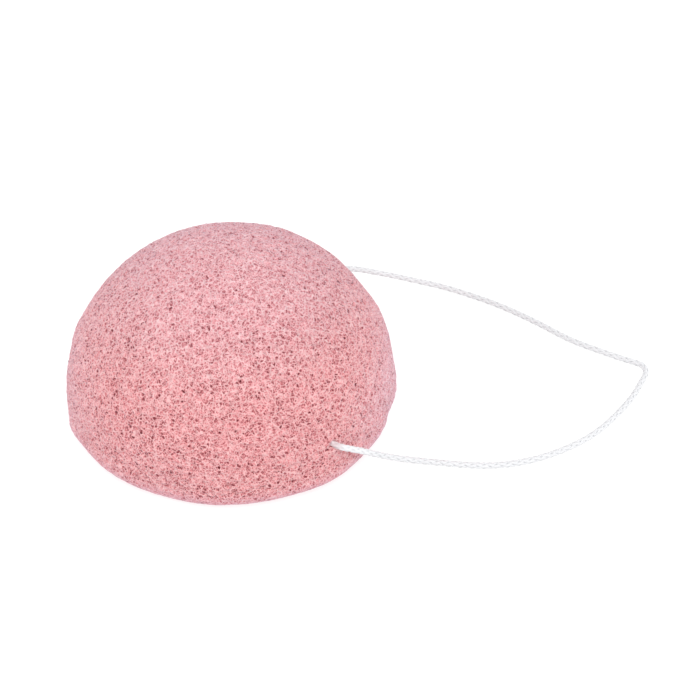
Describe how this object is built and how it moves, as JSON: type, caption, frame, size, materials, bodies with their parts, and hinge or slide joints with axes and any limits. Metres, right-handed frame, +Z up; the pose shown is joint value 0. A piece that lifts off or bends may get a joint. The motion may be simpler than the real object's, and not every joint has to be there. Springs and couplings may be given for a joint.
{
  "type": "konjac sponge",
  "caption": "Soft half-ball facial sponge of open-cell plant-fibre foam with a flat base and a braided cotton hanging loop threaded through it.",
  "frame": {"origin": "centre of the sponge's flat base", "axes": "+Z up along the dome's axis; the cord's channel runs along Y; the loop lies towards +X"},
  "size_m": [0.1434, 0.0842, 0.044],
  "materials": {
    "konjac_foam": "matte",
    "cotton_cord": "matte"
  },
  "bodies": {
    "sponge": {"sponge_body": "konjac_foam"},
    "cord": {"cord_loop": "cotton_cord", "cord_run_front": "cotton_cord", "cord_run_rear": "cotton_cord", "cord_knot": "cotton_cord"}
  },
  "joints": [
    {"name": "loop_swing", "type": "hinge", "parent": "sponge", "child": "cord", "pos_m": [0.023, 0, 0.013], "axis": [0, -1, 0], "range_deg": [0, 110]}
  ]
}
